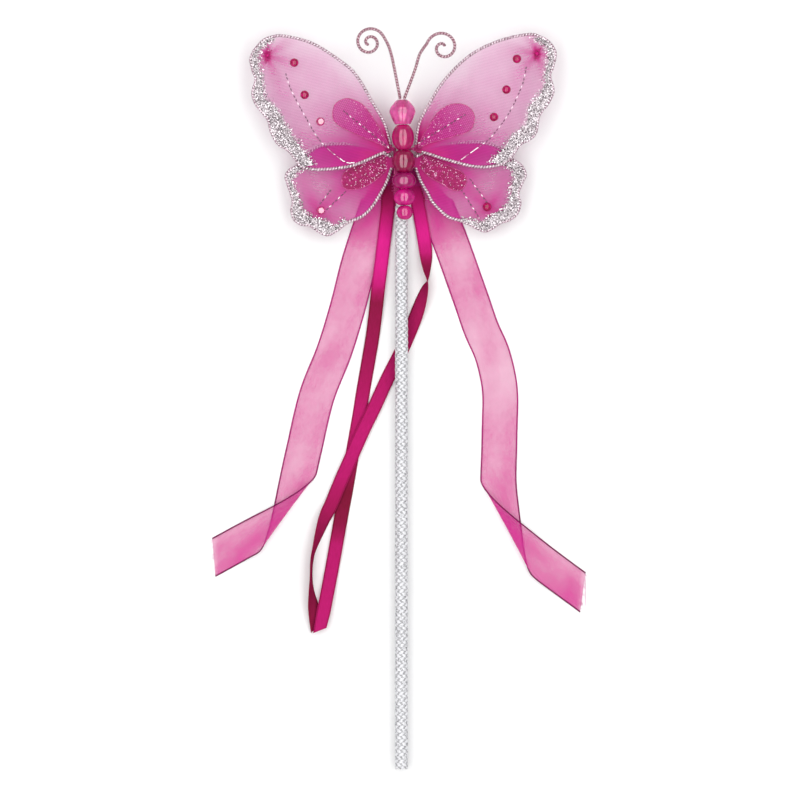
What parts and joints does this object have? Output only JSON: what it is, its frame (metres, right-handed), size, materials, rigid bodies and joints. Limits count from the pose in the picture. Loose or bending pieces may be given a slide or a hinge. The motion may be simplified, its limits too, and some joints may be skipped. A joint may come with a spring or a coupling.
{
  "type": "toy magic wand",
  "caption": "Butterfly wand: wire-framed nylon wings and a strung bead body bound to a braided rod, with trailing organza and satin ribbons.",
  "frame": {"origin": "centre of the rod's butt end, on the rod's axis", "axes": "+Y along the rod to the butterfly, +Z to the butterfly's front, +X to the right seen from the front"},
  "size_m": [0.1722, 0.3404, 0.0208],
  "materials": {
    "core": "matte",
    "braid": "woven with silver threads",
    "wire": "wrapped with silver thread",
    "antenna_wire": "wrapped with rose thread",
    "glue": "waxy",
    "bead": "clear gloss",
    "nylon": "sheer knit",
    "glitter": "silver glitter in glue",
    "petal": "nylon with glitter",
    "gem": "polished",
    "organza": "sheer",
    "satin": "satin"
  },
  "bodies": {
    "rod": {"rod_core": "core", "rod_sleeve": "braid", "root_binding": "wire", "glue_saddle": "glue", "spine_wires": "wire", "waist_bead": "bead", "tail_bead": "bead", "left_upper_root": "wire", "left_lower_root": "wire", "right_upper_root": "wire", "right_lower_root": "wire", "ribbon_fold": "satin"},
    "head": {"head_bead": "bead"},
    "thorax": {"thorax_bead": "bead"},
    "upper_abdomen": {"upper_abdomen_bead": "bead"},
    "lower_abdomen": {"lower_abdomen_bead": "bead"},
    "left_feeler": {"left_antenna": "antenna_wire"},
    "right_feeler": {"right_antenna": "antenna_wire"},
    "left_lower_wing": {"left_lower_frame": "wire", "left_lower_nylon": "nylon", "left_lower_glitter": "glitter", "left_lower_petal": "petal", "left_lower_gem": "gem"},
    "left_upper_wing": {"left_upper_frame": "wire", "left_upper_nylon": "nylon", "left_upper_glitter": "glitter", "left_upper_petal": "petal", "left_upper_gems": "gem", "left_upper_gather": "petal"},
    "right_lower_wing": {"right_lower_frame": "wire", "right_lower_nylon": "nylon", "right_lower_glitter": "glitter", "right_lower_petal": "petal", "right_lower_gem": "gem"},
    "right_upper_wing": {"right_upper_frame": "wire", "right_upper_nylon": "nylon", "right_upper_glitter": "glitter", "right_upper_petal": "petal", "right_upper_gems": "gem", "right_upper_gather": "petal"},
    "satins": {"left_satin": "satin", "right_satin": "satin"},
    "left_sheer": {"left_organza": "organza"},
    "right_sheer": {"right_organza": "organza"}
  },
  "joints": [
    {"name": "head_spin", "type": "hinge", "parent": "rod", "child": "head", "pos_m": [0.0009, 0.28, 0.00969], "axis": [-0.0227, 0.9997, 0], "continuous": true},
    {"name": "thorax_spin", "type": "hinge", "parent": "rod", "child": "thorax", "pos_m": [0.0009, 0.28, 0.00969], "axis": [-0.0227, 0.9997, 0], "continuous": true},
    {"name": "upper_abdomen_spin", "type": "hinge", "parent": "rod", "child": "upper_abdomen", "pos_m": [0.0009, 0.28, 0.00969], "axis": [-0.0227, 0.9997, 0], "continuous": true},
    {"name": "lower_abdomen_spin", "type": "hinge", "parent": "rod", "child": "lower_abdomen", "pos_m": [0.0009, 0.28, 0.00969], "axis": [-0.0227, 0.9997, 0], "continuous": true},
    {"name": "left_antenna_bend", "type": "hinge", "parent": "rod", "child": "left_feeler", "pos_m": [-0.00057, 0.30737, 0.00969], "axis": [0, 0, 1], "range_deg": [-10, 10]},
    {"name": "right_antenna_bend", "type": "hinge", "parent": "rod", "child": "right_feeler", "pos_m": [0.00113, 0.30741, 0.00969], "axis": [0, 0, 1], "range_deg": [-10, 10]},
    {"name": "left_lower_wing_bend", "type": "hinge", "parent": "rod", "child": "left_lower_wing", "pos_m": [-0.0047, 0.28, 0.00399], "axis": [0, 1, 0], "range_deg": [0, 40]},
    {"name": "left_upper_wing_bend", "type": "hinge", "parent": "left_lower_wing", "child": "left_upper_wing", "pos_m": [-0.0047, 0.28, 0.00399], "axis": [0, 1, 0], "range_deg": [0, 10]},
    {"name": "right_lower_wing_bend", "type": "hinge", "parent": "rod", "child": "right_lower_wing", "pos_m": [0.0065, 0.28, 0.00399], "axis": [0, -1, 0], "range_deg": [0, 40]},
    {"name": "right_upper_wing_bend", "type": "hinge", "parent": "right_lower_wing", "child": "right_upper_wing", "pos_m": [0.0065, 0.28, 0.00399], "axis": [0, -1, 0], "range_deg": [0, 10]},
    {"name": "satin_swing", "type": "hinge", "parent": "rod", "child": "satins", "pos_m": [0, 0.262, -0.005], "axis": [1, 0, 0], "range_deg": [0, 60]},
    {"name": "left_organza_swing", "type": "hinge", "parent": "satins", "child": "left_sheer", "pos_m": [0, 0.262, -0.005], "axis": [1, 0, 0], "range_deg": [0, 30]},
    {"name": "right_organza_swing", "type": "hinge", "parent": "satins", "child": "right_sheer", "pos_m": [0, 0.262, -0.005], "axis": [1, 0, 0], "range_deg": [0, 30]}
  ]
}
